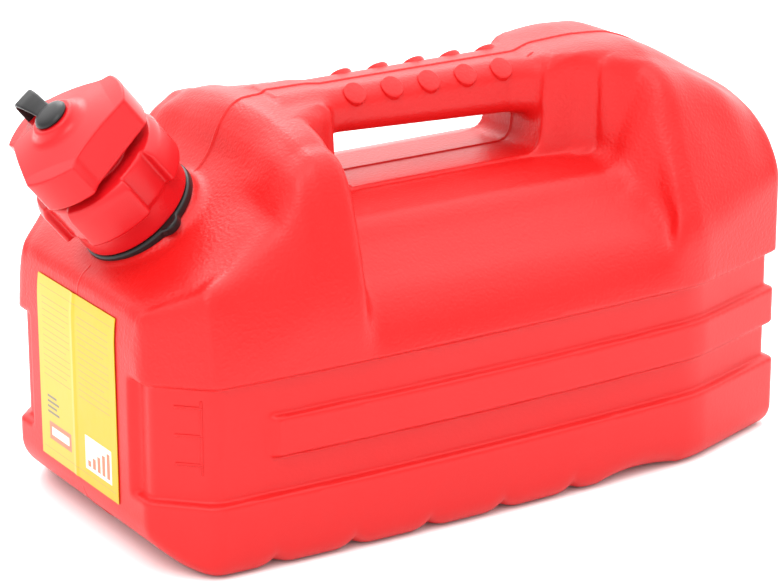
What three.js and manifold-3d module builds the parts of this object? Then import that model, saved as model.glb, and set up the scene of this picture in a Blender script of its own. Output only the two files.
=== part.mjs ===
// A petrol jerry can of about five litres. The can is one blow-moulded hollow with its handle in the
// same wall. Its tilted neck carries a screwed collar, which holds down a pouring spout that is stowed
// upside down in the can, and a lobed cap with a small vent plug on a strap.
// Millimetres, +Z up. The origin is on the ground under the middle of the base, and the neck is at the
// -X end.
import * as THREE from "three";
import { mergeVertices } from "three/addons/utils/BufferGeometryUtils.js";
import Module from "manifold-3d";

const wasm = await Module();
wasm.setup();

// Fits and cutting
const fitGap = 0.3;
const overrun = 1;

// The can's block
const bodyLength = 300;
const bodyWidth = 147.6;
const bodyHeight = 167;
const cornerCut = 20;
const taperLength = 53.5;
const taperDepth = 18.6;
const sideBow = 3.4;
const wall = 2.4;
const baseEdge = 8;
const outlineSteps = 6;
const baseEdgeSteps = 2;
const topSteps = 16;

// The recess round the sides, and the raised band in it
const recessDepth = 3.6;
const recessBottom = 30.8;
const recessTop = 77.4;
const bandBottom = 45.8;
const bandTop = 62.1;
const bandDrop = 0.6;
const ledge = 1.1;
const recessWrap = 8.8;
const recessFade = 4;
const bandSetback = 52;
const bandFade = 7;

// The scallops along the base's long edges: small ones, and one long arch at their end
const scallopPitch = 34.4;
const scallopStart = -104.3;
const scallopCount = 5;
const scallopWidth = 9;
const scallopHeight = 3;
const scallopReach = 16;
const archCentre = 67.5;
const archWidth = 42;
const archSteps = 6;

// The handle bar and the grip studs on its two upper edges
const barWidth = 30;
const barHeight = 20;
const barSink = 1.4;
const barEdge = 8;
const barRootDrop = 6;
const barSteps = 4;
const studRadius = 5.5;
const studProud = 1.5;
const studPitch = 17.6;
const studCount = 6;
const studStart = -31.6;
const studStagger = 8.8;
const studSteps = 8;
const studRings = 5;

// The neck, with its axis tilted towards -X a little more than the slope that carries it. Its heights
// are along that axis from the gasket's middle.
const neckSetback = 28.6;
const neckStand = 4.5;
const neckLean = THREE.MathUtils.degToRad(7.082);
const neckBore = 16.5;
const neckRadius = 18.6;
const neckTop = 24;
const bossRadius = 25;
const bossTop = -0.9;
const bossDepth = 16;
const roundSteps = 32;

// Screw threads: the pitch, how far a ridge stands out, its widths and its turns
const collarPitch = 5;
const capPitch = 4;
const threadHeight = 1.6;
const threadRootWidth = 2;
const threadCrestWidth = 1;
const threadClear = 0.5;
const threadSteps = 20;
const threadFadeSteps = 3;
const neckThreadStart = 5.5;
const neckThreadTurns = 3;
const capThreadStart = 36.5;
const capThreadTurns = 1.75;

// The gasket with its pull tab
const gasketRadius = 23.9;
const gasketHeight = 2.6;
const gasketTabWidth = 10;
const gasketTabProud = 2.2;
const gasketTabAngle = THREE.MathUtils.degToRad(-87);

// The collar nut
const collarSkirtRadius = 24;
const collarRadius = 24.8;
const collarBottom = 2.3;
const gripBottom = 12.5;
const collarTop = 30.5;
const lipHeight = 3.3;
const gripRadius = 28.3;
const gripCount = 4;
const gripSpan = THREE.MathUtils.degToRad(54);
const gripFlank = THREE.MathUtils.degToRad(5);
const gripTurn = THREE.MathUtils.degToRad(-30);
const gripBevel = 1.2;
const gripSteps = 4;
const upstandRadius = 16.9;
const upstandBore = 14.6;
const upstandTop = 44.3;

// The pouring spout
const flangeRadius = 18.5;
const flangeHeight = 2.6;
const spoutRadius = 15.9;
const spoutShoulder = -4;
const spoutLength = 104;
const outletRadius = 11;
const spoutWall = 1.6;

// The closing cap, its seal, its vent plug and the plug's strap
const capBottom = 34;
const capTop = 49;
const lobeReach = 27;
const lobeSpan = THREE.MathUtils.degToRad(22);
const flatReach = 22.5;
const flatSpan = THREE.MathUtils.degToRad(27);
const lobeCount = 3;
const lobeTurn = THREE.MathUtils.degToRad(-17);
const capBevel = 1.8;
const domeRadius = 20;
const domeTop = 50.8;
const bossFootRadius = 13.5;
const bossNeckRadius = 9;
const capBossRadius = 8.4;
const capBossTop = 56;
const ceiling = 46.4;
const sealBore = 12.5;
const sealHeight = 1.5;
const ventBore = 3.7;
const ventClear = 0.4;
const plugRadius = 7.1;
const plugHeight = 1.7;
const plugDome = 0.7;
const strapWidth = 6.4;
const strapThick = 1.5;
const strapRise = 1;
const strapReach = 18.6;
const strapCrestShare = 0.333;
const strapFallShare = 0.75;
const strapSteps = 14;
const pegRadius = 1.6;
const pegDepth = 2.2;
const pegSetback = 15.6;

// The label on the end face
const labelWidth = 65;
const labelHeight = 75.5;
const labelBottom = 22.5;
const labelThick = 0.3;

const halfLength = bodyLength / 2;
const halfWidth = bodyWidth / 2;
const barTop = bodyHeight - barSink;
const cornerEnd = cornerCut - halfLength;
const taperStart = halfLength - taperLength;

// The can's upper outline, with no valley in it, in sections along its length. Each row gives the place
// as a share of half the length, the crest's height, the spine, flank and shoulder as a share of the
// side's reach and of the height, and the height where the upright side wall ends.
const sectionShares = [
  [-1, 0.593, 0.5, 0.593, 0.82, 0.587, 0.95, 0.569, 0.527],
  [-0.99, 0.618, 0.49, 0.617, 0.81, 0.611, 0.95, 0.59, 0.539],
  [-0.967, 0.641, 0.48, 0.639, 0.82, 0.632, 0.95, 0.611, 0.557],
  [-0.867, 0.699, 0.41, 0.695, 0.79, 0.68, 0.95, 0.653, 0.599],
  [-0.773, 0.752, 0.4, 0.746, 0.74, 0.722, 0.9, 0.692, 0.599],
  [-0.68, 0.805, 0.37, 0.793, 0.69, 0.76, 0.86, 0.728, 0.599],
  [-0.633, 0.838, 0.34, 0.826, 0.66, 0.784, 0.85, 0.751, 0.6],
  [-0.6, 0.874, 0.34, 0.856, 0.66, 0.808, 0.84, 0.772, 0.6],
  [-0.567, 0.937, 0.34, 0.904, 0.63, 0.856, 0.83, 0.796, 0.6],
  [-0.533, 0.975, 0.34, 0.949, 0.6, 0.904, 0.81, 0.832, 0.6],
  [-0.5, 0.988, 0.34, 0.973, 0.6, 0.934, 0.8, 0.868, 0.6],
  [-0.453, 0.99, 0.31, 0.979, 0.6, 0.94, 0.81, 0.868, 0.6],
  [-0.333, 0.988, 0.29, 0.976, 0.57, 0.928, 0.81, 0.856, 0.6],
  [0, 0.992, 0.3, 0.98, 0.57, 0.928, 0.78, 0.862, 0.6],
  [0.333, 0.997, 0.34, 0.988, 0.58, 0.928, 0.74, 0.868, 0.6],
  [0.533, 1, 0.4, 0.985, 0.59, 0.928, 0.72, 0.868, 0.6],
  [0.633, 0.994, 0.41, 0.979, 0.68, 0.898, 0.745, 0.838, 0.61],
  [0.7, 0.988, 0.42, 0.967, 0.68, 0.892, 0.76, 0.826, 0.62],
  [0.78, 0.961, 0.42, 0.943, 0.7, 0.874, 0.78, 0.808, 0.63],
  [0.873, 0.925, 0.45, 0.904, 0.73, 0.85, 0.81, 0.784, 0.64],
  [0.96, 0.877, 0.45, 0.856, 0.73, 0.787, 0.83, 0.731, 0.645],
  [0.993, 0.832, 0.45, 0.814, 0.74, 0.751, 0.85, 0.704, 0.645],
  [1, 0.802, 0.44, 0.784, 0.72, 0.725, 0.83, 0.683, 0.62],
];

// The valley for the hand, which runs right across the can. Each row gives the distance from the parting
// plane as a share of half the width, the floor's height as a share of the height, and as shares of half
// the length the front wall at the floor and at the top, then the rear wall at the floor and at the top.
const valleyShares = [
  [0, 0.766, -0.28, -0.3, 0.333, 0.39],
  [0.244, 0.765, -0.28, -0.3, 0.347, 0.4],
  [0.325, 0.76, -0.333, -0.35, 0.46, 0.493],
  [0.434, 0.742, -0.387, -0.4, 0.497, 0.573],
  [0.569, 0.725, -0.4, -0.413, 0.5, 0.647],
  [0.678, 0.682, -0.407, -0.417, 0.51, 0.68],
  [0.786, 0.639, -0.41, -0.42, 0.547, 0.665],
  [0.894, 0.597, -0.413, -0.42, 0.573, 0.573],
  [1.003, 0.539, -0.413, -0.42, 0.547, 0.533],
  [1.111, 0.455, -0.413, -0.42, 0.52, 0.507],
];
const valleyFillet = 8;
const filletSteps = 2;

// Places along the handle bar as shares of half the length: its front root, the front end of its level
// stretch, the rear end of that stretch and its rear root.
const barShares = [-0.33, -0.245, 0.285, 0.4];

// Turns a closed geometry into a solid that can be joined and cut.
function toSolid(geometry) {
  const bare = geometry.clone();
  for (const name of Object.keys(bare.attributes)) {
    if (name !== "position") bare.deleteAttribute(name);
  }
  const merged = mergeVertices(bare);
  const vertProperties = merged.attributes.position.array;
  const triVerts = new Uint32Array(merged.index.array);
  return new wasm.Manifold(new wasm.Mesh({ numProp: 3, vertProperties, triVerts }));
}

function toGeometry(solid) {
  const mesh = solid.getMesh();
  const geometry = new THREE.BufferGeometry();
  geometry.setAttribute("position", new THREE.BufferAttribute(mesh.vertProperties, mesh.numProp));
  geometry.setIndex(new THREE.BufferAttribute(mesh.triVerts, 1));
  geometry.computeVertexNormals();
  return geometry;
}

function joined(first, ...others) {
  return others.reduce((sum, other) => sum.add(other), first);
}

// A loop of points in space laid flat, along the axis that it faces most.
function flattened(ring) {
  const normal = new THREE.Vector3();
  ring.forEach((point, i) => {
    normal.add(point.clone().cross(ring[(i + 1) % ring.length]));
  });
  const size = normal.toArray().map(Math.abs);
  const facing = size.indexOf(Math.max(...size));
  return ring.map((point) => {
    const kept = point.toArray().filter((value, axis) => axis !== facing);
    return new THREE.Vector2(...kept);
  });
}

// A closed solid through rings of points, all of one count, with a flat cap on its first and last ring.
function loft(rings) {
  const count = rings[0].length;
  const faces = [];
  for (let i = 0; i + 1 < rings.length; i += 1) {
    for (let j = 0; j < count; j += 1) {
      const next = (j + 1) % count;
      const here = i * count;
      const there = here + count;
      faces.push([here + j, here + next, there + next]);
      faces.push([here + j, there + next, there + j]);
    }
  }
  const last = (rings.length - 1) * count;
  const capFaces = (ring) => THREE.ShapeUtils.triangulateShape(flattened(ring), []);
  const inOrder = (face) => face.slice().sort((a, b) => a - b);
  capFaces(rings[0]).forEach((face) => faces.push(inOrder(face).reverse()));
  capFaces(rings.at(-1)).forEach((face) => faces.push(inOrder(face).map((i) => i + last)));
  const points = rings.flat();
  const spanned = ([a, b, c]) => points[a].dot(points[b].clone().cross(points[c]));
  const volume = faces.reduce((sum, face) => sum + spanned(face), 0);
  const outward = volume < 0 ? faces.map((face) => face.slice().reverse()) : faces;
  const geometry = new THREE.BufferGeometry().setFromPoints(points);
  geometry.setIndex(outward.flat());
  return toSolid(geometry);
}

// A flat closed loop moved inwards by a distance, which may differ from point to point.
function insetLoop(loop, distanceOf) {
  const turn = Math.sign(THREE.ShapeUtils.area(loop));
  const inward = (from, to) => {
    const along = to.clone().sub(from).normalize();
    return new THREE.Vector2(-along.y, along.x).multiplyScalar(turn);
  };
  return loop.map((point, i) => {
    const before = inward(loop.at(i - 1), point);
    const after = inward(point, loop[(i + 1) % loop.length]);
    const mitre = before.clone().add(after).divideScalar(1 + before.dot(after));
    return point.clone().add(mitre.multiplyScalar(distanceOf(i)));
  });
}

// A solid of revolution about the neck's axis, from radii and heights along it.
function turned(profile) {
  const points = profile.map(([radius, height]) => new THREE.Vector2(radius, height));
  const geometry = new THREE.LatheGeometry(points, roundSteps);
  return toSolid(geometry.rotateX(Math.PI / 2));
}

function rod(radius, bottom, top) {
  return turned([[0, bottom], [radius, bottom], [radius, top], [0, top]]);
}

function ring(bore, radius, bottom, top) {
  return turned([[bore, bottom], [radius, bottom], [radius, top], [bore, top], [bore, bottom]]);
}

// A screw ridge on a wall of the given radius, standing outwards or inwards, which fades out at both ends.
function threadRidge({ radius, outward, pitch, start, turns }) {
  const sign = outward ? 1 : -1;
  const steps = Math.round(turns * threadSteps);
  const rings = [];
  for (let i = 0; i <= steps; i += 1) {
    const angle = (i / threadSteps) * 2 * Math.PI;
    const height = start + (i / threadSteps) * pitch;
    const fade = Math.min(1, (i + 1) / threadFadeSteps, (steps - i + 1) / threadFadeSteps);
    const foot = radius - sign * fitGap;
    const crest = radius + sign * threadHeight * fade;
    const section = [
      [foot, -threadRootWidth / 2],
      [crest, -threadCrestWidth / 2],
      [crest, threadCrestWidth / 2],
      [foot, threadRootWidth / 2],
    ];
    const around = ([r, h]) => new THREE.Vector3(r * Math.cos(angle), r * Math.sin(angle), height + h);
    rings.push(section.map(around));
  }
  return loft(rings);
}

// Half the can's width at a place along its length: cut corners in front, bowed sides, then a taper.
function sideAt(x) {
  if (x < cornerEnd) return halfWidth - (cornerEnd - x);
  if (x > taperStart) return halfWidth - ((x - taperStart) / taperLength) * taperDepth;
  const share = (x - cornerEnd) / (taperStart - cornerEnd);
  return halfWidth + sideBow * 4 * share * (1 - share);
}

// How far the base's rounded end edge lifts it off the ground.
function baseAt(x) {
  const into = Math.max(0, Math.abs(x) - (halfLength - baseEdge));
  return baseEdge - Math.sqrt(baseEdge * baseEdge - into * into);
}

// The crest's height and steepness at a place along the can.
function crestAt(x) {
  const place = x / halfLength;
  const after = sectionShares.findIndex((row) => row[0] > place);
  const [from, to] = [sectionShares[after - 1], sectionShares[after]];
  const share = (place - from[0]) / (to[0] - from[0]);
  const rise = bodyHeight * (to[1] - from[1]);
  const run = halfLength * (to[0] - from[0]);
  return { height: bodyHeight * from[1] + rise * share, slope: Math.atan2(rise, run) };
}

// The can's section across its length, as a loop of (y, z).
function bodyLoop(row) {
  const [place, crest, spineY, spineZ, flankY, flankZ, shoulderY, shoulderZ, wallZ] = row;
  const side = sideAt(place * halfLength);
  const base = baseAt(place * halfLength);
  const near = [
    new THREE.Vector2(side, wallZ * bodyHeight),
    new THREE.Vector2(shoulderY * side, shoulderZ * bodyHeight),
    new THREE.Vector2(flankY * side, flankZ * bodyHeight),
    new THREE.Vector2(spineY * side, spineZ * bodyHeight),
  ];
  const mirrored = (point) => new THREE.Vector2(-point.x, point.y);
  const far = near.map(mirrored).reverse();
  const top = new THREE.SplineCurve([...near, new THREE.Vector2(0, crest * bodyHeight), ...far]);
  const edge = [];
  for (let i = 0; i <= baseEdgeSteps; i += 1) {
    const angle = (i / baseEdgeSteps) * (Math.PI / 2);
    const out = baseEdge * (1 - Math.sin(angle));
    const up = baseEdge * (1 - Math.cos(angle));
    edge.push(new THREE.Vector2(side - out, base + up));
  }
  return [...edge, ...top.getPoints(topSteps), ...edge.map(mirrored).reverse()];
}

// The can's block, whole, or drawn in by a wall's thickness all round.
function block(inset) {
  const reach = (halfLength - inset) / halfLength;
  return loft(
    sectionShares.map((row) => {
      const loop = insetLoop(bodyLoop(row), () => inset);
      return loop.map((point) => new THREE.Vector3(row[0] * halfLength * reach, point.x, point.y));
    }),
  );
}

// The outline of the sides seen from above, with how much of the recess and of its band each point has.
function planOutline() {
  const bandStart = cornerEnd - cornerCut + bandSetback;
  const places = [cornerEnd, bandStart, bandStart + bandFade];
  for (let i = 1; i <= outlineSteps; i += 1) {
    places.push(THREE.MathUtils.lerp(bandStart + bandFade, taperStart, i / outlineSteps));
  }
  places.push(halfLength);
  const fadeEnd = sideAt(-halfLength) - recessWrap;
  const recessStop = fadeEnd - recessFade;
  const near = [
    { x: -halfLength, y: -recessStop, recess: 0, band: 0 },
    { x: -halfLength, y: -fadeEnd, recess: 1, band: 0 },
    { x: -halfLength, y: -sideAt(-halfLength), recess: 1, band: 0 },
    ...places.map((x) => ({ x, y: -sideAt(x), recess: 1, band: x > bandStart ? 1 : 0 })),
  ];
  const far = near.map((point) => ({ ...point, y: -point.y })).reverse();
  return [...near, ...far];
}

// What the recess takes out of the can's sides, or out of a hollow that is drawn in by a wall's thickness.
function recessCutter(inset) {
  const outline = planOutline();
  const loop = outline.map((point) => new THREE.Vector2(point.x, point.y));
  const plain = () => -recessDepth;
  const sunk = (point) => (point.recess ? recessDepth : -recessDepth);
  const raised = (point) => (point.recess && point.band ? bandDrop : sunk(point));
  const levels = [
    [recessBottom - ledge, plain],
    [recessBottom + ledge, sunk],
    [bandBottom - ledge, sunk],
    [bandBottom + ledge, raised],
    [bandTop - ledge, raised],
    [bandTop + ledge, sunk],
    [recessTop - ledge, sunk],
    [recessTop + ledge, plain],
  ];
  const core = loft(
    levels.map(([height, depthOf]) => {
      const drawn = insetLoop(loop, (i) => depthOf(outline[i]) + inset);
      return drawn.map((point) => new THREE.Vector3(point.x, point.y, height));
    }),
  );
  const slabHeight = recessTop - recessBottom + ledge;
  const slab = new THREE.BoxGeometry(bodyLength * 2, bodyWidth * 2, slabHeight);
  slab.translate(0, 0, (recessTop + recessBottom) / 2);
  return toSolid(slab).subtract(core);
}

// The valley across the can, grown by a wall's thickness where the hollow keeps clear of it.
function valleyCutter(grow) {
  const sky = bodyHeight + overrun + barHeight;
  const arc = (x, z, side) => {
    const points = [];
    for (let i = 0; i <= filletSteps; i += 1) {
      const angle = (i / filletSteps) * (Math.PI / 2);
      const across = valleyFillet * (1 - Math.sin(angle));
      const up = valleyFillet * (1 - Math.cos(angle));
      points.push([x + side * (valleyFillet - across), z + up]);
    }
    return points;
  };
  const section = ([, floorShare, frontLow, frontHigh, rearLow, rearHigh]) => {
    const floor = floorShare * bodyHeight - grow;
    const front = frontLow * halfLength - grow + valleyFillet;
    const rear = rearLow * halfLength + grow - valleyFillet;
    return [
      [frontHigh * halfLength - grow, sky],
      ...arc(front, floor, -1).reverse(),
      ...arc(rear, floor, 1),
      [rearHigh * halfLength + grow, sky],
    ];
  };
  const near = valleyShares.map((row) => ({ y: row[0] * halfWidth, points: section(row) }));
  const far = near.slice(1).map(({ y, points }) => ({ y: -y, points })).reverse();
  const across = ({ y, points }) => points.map(([x, z]) => new THREE.Vector3(x, y, z));
  return loft([...far, ...near].map(across));
}

// The handle bar's rounded section as a loop of (y, z), with its underside lowered by a drop.
function barLoop(drop) {
  const corners = [
    [1, barTop - barEdge, 0],
    [-1, barTop - barEdge, Math.PI / 2],
    [-1, barTop - barHeight + barEdge - drop, Math.PI],
    [1, barTop - barHeight + barEdge - drop, Math.PI * 1.5],
  ];
  return corners.flatMap(([side, z, from]) => {
    const centre = new THREE.Vector2(side * (barWidth / 2 - barEdge), z);
    return Array.from({ length: barSteps }, (unused, i) => {
      const angle = from + (i / (barSteps - 1)) * (Math.PI / 2);
      return new THREE.Vector2(Math.cos(angle), Math.sin(angle)).multiplyScalar(barEdge).add(centre);
    });
  });
}

function bar(inset) {
  const drops = [barRootDrop, 0, 0, barRootDrop];
  return loft(
    barShares.map((share, i) => {
      const reach = share * halfLength + Math.sign(share) * inset * 2;
      const place = drops[i] ? reach : share * halfLength;
      const loop = insetLoop(barLoop(drops[i]), () => inset);
      return loop.map((point) => new THREE.Vector3(place, point.x, point.y));
    }),
  );
}

// The round studs along both upper edges of the handle bar, those of one edge set between those of the
// other.
function gripStuds() {
  const sunk = studRadius - studProud;
  const lean = Math.SQRT1_2 * (barEdge - sunk);
  const y = barWidth / 2 - barEdge + lean;
  const z = barTop - barEdge + lean;
  const studs = [];
  for (let i = 0; i < studCount; i += 1) {
    const x = studStart + i * studPitch;
    studs.push([x, -y]);
    if (i + 1 < studCount) studs.push([x + studStagger, y]);
  }
  return studs.map(([x, side]) => {
    const ball = new THREE.SphereGeometry(studRadius, studSteps, studRings);
    return toSolid(ball.translate(x, side, z));
  });
}

// One scallop under a long edge: an arch across X that runs in from the side and fades out under the base.
function scallop(x, width, height, side) {
  const arch = (y, rise) => {
    const points = [];
    for (let i = 0; i <= archSteps; i += 1) {
      const angle = Math.PI * (1 - i / archSteps);
      const across = (width / 2) * Math.cos(angle);
      points.push(new THREE.Vector3(x + across, y, rise * Math.sin(angle) - overrun / 2));
    }
    points.push(new THREE.Vector3(x + width / 2, y, -overrun * 2));
    points.push(new THREE.Vector3(x - width / 2, y, -overrun * 2));
    return points;
  };
  const outer = side * (halfWidth + sideBow + overrun);
  const inner = side * (halfWidth - scallopReach);
  return loft([arch(outer, height + overrun / 2), arch(inner, overrun / 4)]);
}

function scallops() {
  const cuts = [];
  for (const side of [-1, 1]) {
    for (let i = 0; i < scallopCount; i += 1) {
      cuts.push(scallop(scallopStart + i * scallopPitch, scallopWidth, scallopHeight, side));
    }
    cuts.push(scallop(archCentre, archWidth, scallopHeight, side));
  }
  return cuts;
}

// The neck's own frame: its +Z is the neck's axis, and its +X points up the front slope.
const neck = new THREE.Group();
const neckX = neckSetback - halfLength;
const underNeck = crestAt(neckX);
neck.position.set(neckX, 0, underNeck.height + neckStand);
neck.rotation.y = -(underNeck.slope + neckLean);
neck.updateMatrixWorld(true);

function onNeck(solid) {
  return toSolid(toGeometry(solid).applyMatrix4(neck.matrixWorld));
}

function canBody() {
  const neckSolid = joined(
    rod(bossRadius, -bossDepth, bossTop),
    rod(neckRadius, -bossDepth, neckTop),
    threadRidge({
      radius: neckRadius,
      outward: true,
      pitch: collarPitch,
      start: neckThreadStart,
      turns: neckThreadTurns,
    }),
  );
  const formed = (inset) => joined(
    block(inset).subtract(valleyCutter(inset)).subtract(recessCutter(inset)),
    bar(inset),
  );
  const outside = joined(formed(0), ...gripStuds());
  const hollow = formed(wall);
  const bore = onNeck(rod(neckBore, -bossDepth, neckTop + overrun));
  const shell = outside.add(onNeck(neckSolid)).subtract(hollow).subtract(bore);
  return scallops().reduce((body, cut) => body.subtract(cut), shell);
}

function neckGasket() {
  const bore = neckRadius + threadHeight + threadClear;
  const bottom = bossTop + fitGap;
  const tab = new THREE.BoxGeometry(gasketTabProud * 2, gasketTabWidth, gasketHeight);
  tab.translate(gasketRadius, 0, bottom + gasketHeight / 2);
  tab.rotateZ(gasketTabAngle);
  return ring(bore, gasketRadius, bottom, bottom + gasketHeight).add(toSolid(tab));
}

// The outline of the collar's grip, as points round the axis at the two radii that its lugs step between.
function gripOutline() {
  const shape = new THREE.Shape();
  const points = [];
  for (let lug = 0; lug < gripCount; lug += 1) {
    const centre = gripTurn + (lug / gripCount) * 2 * Math.PI;
    const next = centre + (2 * Math.PI) / gripCount;
    const arcs = [
      [centre - gripSpan / 2 + gripFlank, centre + gripSpan / 2 - gripFlank, gripRadius - gripBevel],
      [centre + gripSpan / 2, next - gripSpan / 2, collarRadius - gripBevel],
    ];
    arcs.forEach(([from, to, radius]) => {
      for (let i = 0; i <= gripSteps; i += 1) {
        const angle = THREE.MathUtils.lerp(from, to, i / gripSteps);
        points.push(new THREE.Vector2(radius * Math.cos(angle), radius * Math.sin(angle)));
      }
    });
  }
  return shape.setFromPoints(points);
}

function bevelled(shape, bottom, top, bevel) {
  const geometry = new THREE.ExtrudeGeometry(shape, {
    depth: top - bottom - 2 * bevel,
    bevelThickness: bevel,
    bevelSize: bevel,
    bevelSegments: 2,
    curveSegments: gripSteps,
  });
  return toSolid(geometry.translate(0, 0, bottom + bevel));
}

function collarNut() {
  const threadBore = neckRadius + threadHeight + threadClear;
  const lipBottom = collarTop - lipHeight;
  const skirt = rod(collarSkirtRadius, collarBottom, gripBottom + gripBevel * 2);
  const grip = bevelled(gripOutline(), gripBottom, collarTop, gripBevel);
  const upstand = rod(upstandRadius, lipBottom, upstandTop);
  const solid = joined(
    skirt,
    grip,
    upstand,
    threadRidge({
      radius: upstandRadius,
      outward: true,
      pitch: capPitch,
      start: capThreadStart,
      turns: capThreadTurns,
    }),
  );
  const bored = solid
    .subtract(rod(threadBore, collarBottom - overrun, lipBottom))
    .subtract(rod(upstandBore, lipBottom - overrun, upstandTop + overrun));
  return bored.add(
    threadRidge({
      radius: threadBore,
      outward: false,
      pitch: collarPitch,
      start: neckThreadStart + collarPitch / 2,
      turns: neckThreadTurns,
    }),
  );
}

function pourSpout() {
  const flangeBottom = neckTop + fitGap;
  const flangeTop = flangeBottom + flangeHeight;
  const outlet = flangeTop - spoutLength;
  return turned([
    [spoutRadius - spoutWall, flangeTop],
    [spoutRadius - spoutWall, spoutShoulder],
    [outletRadius - spoutWall, outlet],
    [outletRadius, outlet],
    [spoutRadius, spoutShoulder],
    [spoutRadius, flangeBottom],
    [flangeRadius, flangeBottom],
    [flangeRadius, flangeTop],
    [spoutRadius - spoutWall, flangeTop],
  ]);
}

// The cap's outline: three flats with a broad squared lobe between each two.
function capOutline() {
  const points = [];
  for (let lobe = 0; lobe < lobeCount; lobe += 1) {
    const centre = lobeTurn + (lobe / lobeCount) * 2 * Math.PI;
    const flat = centre + Math.PI / lobeCount;
    const corner = (angle, reach, half) => {
      const radius = (reach - capBevel) / Math.cos(half);
      points.push(new THREE.Vector2(radius * Math.cos(angle), radius * Math.sin(angle)));
    };
    corner(centre - lobeSpan, lobeReach, lobeSpan);
    corner(centre + lobeSpan, lobeReach, lobeSpan);
    corner(flat - flatSpan, flatReach, flatSpan);
    corner(flat + flatSpan, flatReach, flatSpan);
  }
  return new THREE.Shape().setFromPoints(points);
}

function closingCap() {
  const threadBore = upstandRadius + threadHeight + threadClear;
  const dome = turned([
    [0, ceiling],
    [domeRadius, ceiling],
    [domeRadius, capTop],
    [bossFootRadius, domeTop],
    [bossNeckRadius, capBossTop - (capBossTop - domeTop) / 2],
    [capBossRadius, capBossTop],
    [0, capBossTop],
  ]);
  const socket = rod(pegRadius + fitGap, domeTop - pegDepth - overrun, domeTop + overrun);
  const peg = socket.translate(0, pegSetback, 0);
  const solid = bevelled(capOutline(), capBottom, capTop, capBevel).add(dome);
  const bored = solid
    .subtract(rod(threadBore, capBottom - overrun, ceiling))
    .subtract(rod(ventBore, ceiling - overrun, capBossTop + overrun))
    .subtract(peg);
  return bored.add(
    threadRidge({
      radius: threadBore,
      outward: false,
      pitch: capPitch,
      start: capThreadStart + capPitch / 2,
      turns: capThreadTurns,
    }),
  );
}

function capSeal() {
  const bottom = upstandTop + fitGap;
  return ring(sealBore, upstandRadius, bottom, bottom + sealHeight);
}

function ventPlug() {
  const headBottom = capBossTop + fitGap;
  const headTop = headBottom + plugHeight;
  return turned([
    [0, ceiling],
    [ventBore - ventClear, ceiling],
    [ventBore - ventClear, headBottom],
    [plugRadius, headBottom],
    [plugRadius, headTop - plugDome],
    [plugRadius * Math.SQRT1_2, headTop + plugDome / 2],
    [0, headTop + plugDome],
  ]);
}

// The strap leaves the plug's edge, arches over and ends in a peg that sits in the cap's dome.
function plugStrap() {
  const start = capBossTop + fitGap + plugHeight / 2;
  const end = domeTop + strapThick / 2 + fitGap;
  const along = (share) => THREE.MathUtils.lerp(plugRadius, strapReach, share);
  const route = new THREE.CatmullRomCurve3([
    new THREE.Vector3(0, plugRadius + fitGap, start),
    new THREE.Vector3(0, along(strapCrestShare), start + strapRise / 2),
    new THREE.Vector3(0, along(strapFallShare), start - strapRise / 2),
    new THREE.Vector3(0, strapReach, (start + end) / 2),
    new THREE.Vector3(0, pegSetback + pegRadius, end),
    new THREE.Vector3(0, pegSetback - pegRadius, end),
  ]);
  const band = new THREE.Shape();
  band.moveTo(-strapWidth / 2, -strapThick / 2);
  band.lineTo(strapWidth / 2, -strapThick / 2);
  band.lineTo(strapWidth / 2, strapThick / 2);
  band.lineTo(-strapWidth / 2, strapThick / 2);
  const strap = new THREE.ExtrudeGeometry(band, { steps: strapSteps, extrudePath: route });
  const peg = rod(pegRadius, domeTop - pegDepth, end).translate(0, pegSetback, 0);
  return toSolid(strap).add(peg);
}

function label() {
  const sheet = new THREE.BoxGeometry(labelThick, labelWidth, labelHeight);
  return toSolid(sheet.translate(-halfLength - fitGap - labelThick / 2, 0, labelBottom + labelHeight / 2));
}

const redShell = new THREE.MeshStandardMaterial({ color: 0xd5121b, roughness: 0.55, metalness: 0 });
const redClosure = new THREE.MeshStandardMaterial({ color: 0xd8151e, roughness: 0.35, metalness: 0 });
const blackPlastic = new THREE.MeshStandardMaterial({ color: 0x1b1b1d, roughness: 0.45, metalness: 0 });
const blackRubber = new THREE.MeshStandardMaterial({ color: 0x161617, roughness: 0.75, metalness: 0 });
const yellowFilm = new THREE.MeshStandardMaterial({ color: 0xf3e11c, roughness: 0.3, metalness: 0 });

function named(name, solid, material) {
  const mesh = new THREE.Mesh(toGeometry(solid), material.clone());
  mesh.name = name;
  return mesh;
}

neck.add(
  named("neck_gasket", neckGasket(), blackRubber),
  named("collar_nut", collarNut(), redClosure),
  named("pour_spout", pourSpout(), blackPlastic),
  named("closing_cap", closingCap(), redClosure),
  named("cap_seal", capSeal(), blackRubber),
  named("vent_plug", ventPlug(), blackRubber),
  named("plug_strap", plugStrap(), blackRubber),
);

const can = new THREE.Group();
can.add(named("can_body", canBody(), redShell), named("label", label(), yellowFilm), neck);

export default can;
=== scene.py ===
import math

import bmesh
import bpy
import numpy as np
from mathutils import Matrix, Vector


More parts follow.
